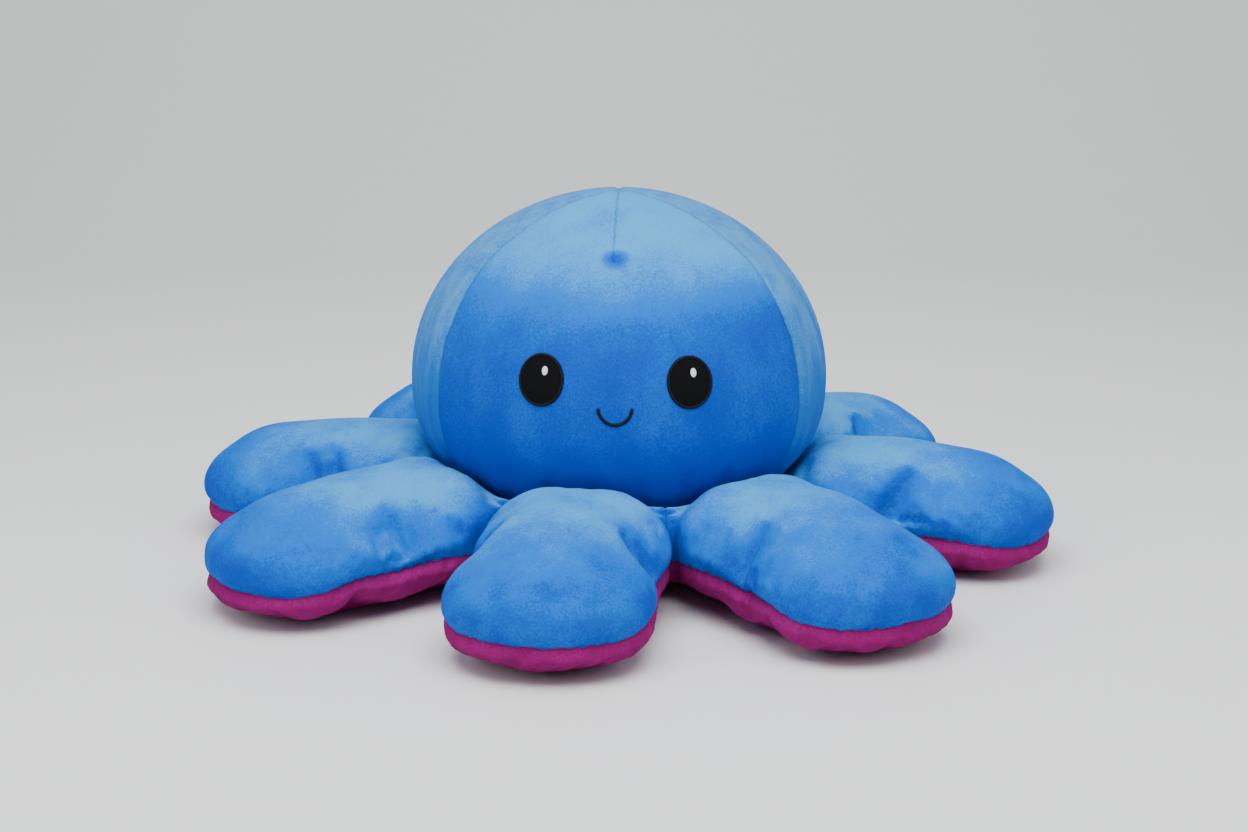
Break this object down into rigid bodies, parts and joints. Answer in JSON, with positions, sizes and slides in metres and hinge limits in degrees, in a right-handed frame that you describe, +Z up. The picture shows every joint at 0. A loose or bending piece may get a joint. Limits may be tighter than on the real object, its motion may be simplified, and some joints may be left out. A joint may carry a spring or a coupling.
{
  "type": "stuffed toy",
  "caption": "Very large stuffed velvet octopus of the reversible kind: round blue head with a stitched smiling face over fat arms, blue on top and magenta underneath.",
  "frame": {"origin": "on the floor under the middle of the whole toy's outline", "axes": "+Z up along the head's axis; the face looks along -Y; +X to the toy's left, the viewer's right"},
  "size_m": [0.8551, 0.8369, 0.356],
  "materials": {
    "blue_velvet": "short-pile velvet",
    "magenta_velvet": "short-pile velvet",
    "black_cloth": "smooth cloth",
    "black_thread": "satin stitch",
    "white_thread": "satin stitch",
    "stuffing": "polyester fibre"
  },
  "bodies": {
    "body": {"head_front_panel": "blue_velvet", "head_right_panel": "blue_velvet", "head_left_panel": "blue_velvet", "head_filling": "stuffing", "lining_front_panel": "magenta_velvet", "lining_right_panel": "magenta_velvet", "lining_left_panel": "magenta_velvet", "star_top_centre": "blue_velvet", "star_bottom_centre": "magenta_velvet", "star_centre_filling": "stuffing", "eye_left_patch": "black_cloth", "eye_left_border": "black_thread", "eye_left_glint": "white_thread", "eye_right_patch": "black_cloth", "eye_right_border": "black_thread", "eye_right_glint": "white_thread", "smile": "black_thread"},
    "arm_front": {"arm_front_top": "blue_velvet", "arm_front_bottom": "magenta_velvet", "arm_front_filling": "stuffing"},
    "arm_front_right": {"arm_front_right_top": "blue_velvet", "arm_front_right_bottom": "magenta_velvet", "arm_front_right_filling": "stuffing"},
    "arm_right": {"arm_right_top": "blue_velvet", "arm_right_bottom": "magenta_velvet", "arm_right_filling": "stuffing"},
    "arm_back_right": {"arm_back_right_top": "blue_velvet", "arm_back_right_bottom": "magenta_velvet", "arm_back_right_filling": "stuffing"},
    "arm_back": {"arm_back_top": "blue_velvet", "arm_back_bottom": "magenta_velvet", "arm_back_filling": "stuffing"},
    "arm_back_left": {"arm_back_left_top": "blue_velvet", "arm_back_left_bottom": "magenta_velvet", "arm_back_left_filling": "stuffing"},
    "arm_left": {"arm_left_top": "blue_velvet", "arm_left_bottom": "magenta_velvet", "arm_left_filling": "stuffing"},
    "arm_front_left": {"arm_front_left_top": "blue_velvet", "arm_front_left_bottom": "magenta_velvet", "arm_front_left_filling": "stuffing"}
  },
  "joints": [
    {"name": "front_bend", "type": "hinge", "parent": "body", "child": "arm_front", "pos_m": [-0.03924, -0.22257, 0.057], "axis": [-0.9848, 0.1736, 0], "range_deg": [-30, 40]},
    {"name": "front_right_bend", "type": "hinge", "parent": "body", "child": "arm_front_right", "pos_m": [0.13284, -0.18284, 0.057], "axis": [-0.809, -0.5878, 0], "range_deg": [-30, 40]},
    {"name": "right_bend", "type": "hinge", "parent": "body", "child": "arm_right", "pos_m": [0.2229, -0.0373, 0.057], "axis": [-0.165, -0.9863, 0], "range_deg": [-30, 40]},
    {"name": "back_right_bend", "type": "hinge", "parent": "body", "child": "arm_back_right", "pos_m": [0.18284, 0.13284, 0.057], "axis": [0.5878, -0.809, 0], "range_deg": [-30, 40]},
    {"name": "back_bend", "type": "hinge", "parent": "body", "child": "arm_back", "pos_m": [0.03924, 0.22257, 0.057], "axis": [0.9848, -0.1736, 0], "range_deg": [-30, 40]},
    {"name": "back_left_bend", "type": "hinge", "parent": "body", "child": "arm_back_left", "pos_m": [-0.13284, 0.18284, 0.057], "axis": [0.809, 0.5878, 0], "range_deg": [-30, 40]},
    {"name": "left_bend", "type": "hinge", "parent": "body", "child": "arm_left", "pos_m": [-0.22322, 0.03535, 0.057], "axis": [0.1564, 0.9877, 0], "range_deg": [-30, 40]},
    {"name": "front_left_bend", "type": "hinge", "parent": "body", "child": "arm_front_left", "pos_m": [-0.18736, -0.12638, 0.057], "axis": [-0.5592, 0.829, 0], "range_deg": [-30, 40]}
  ]
}
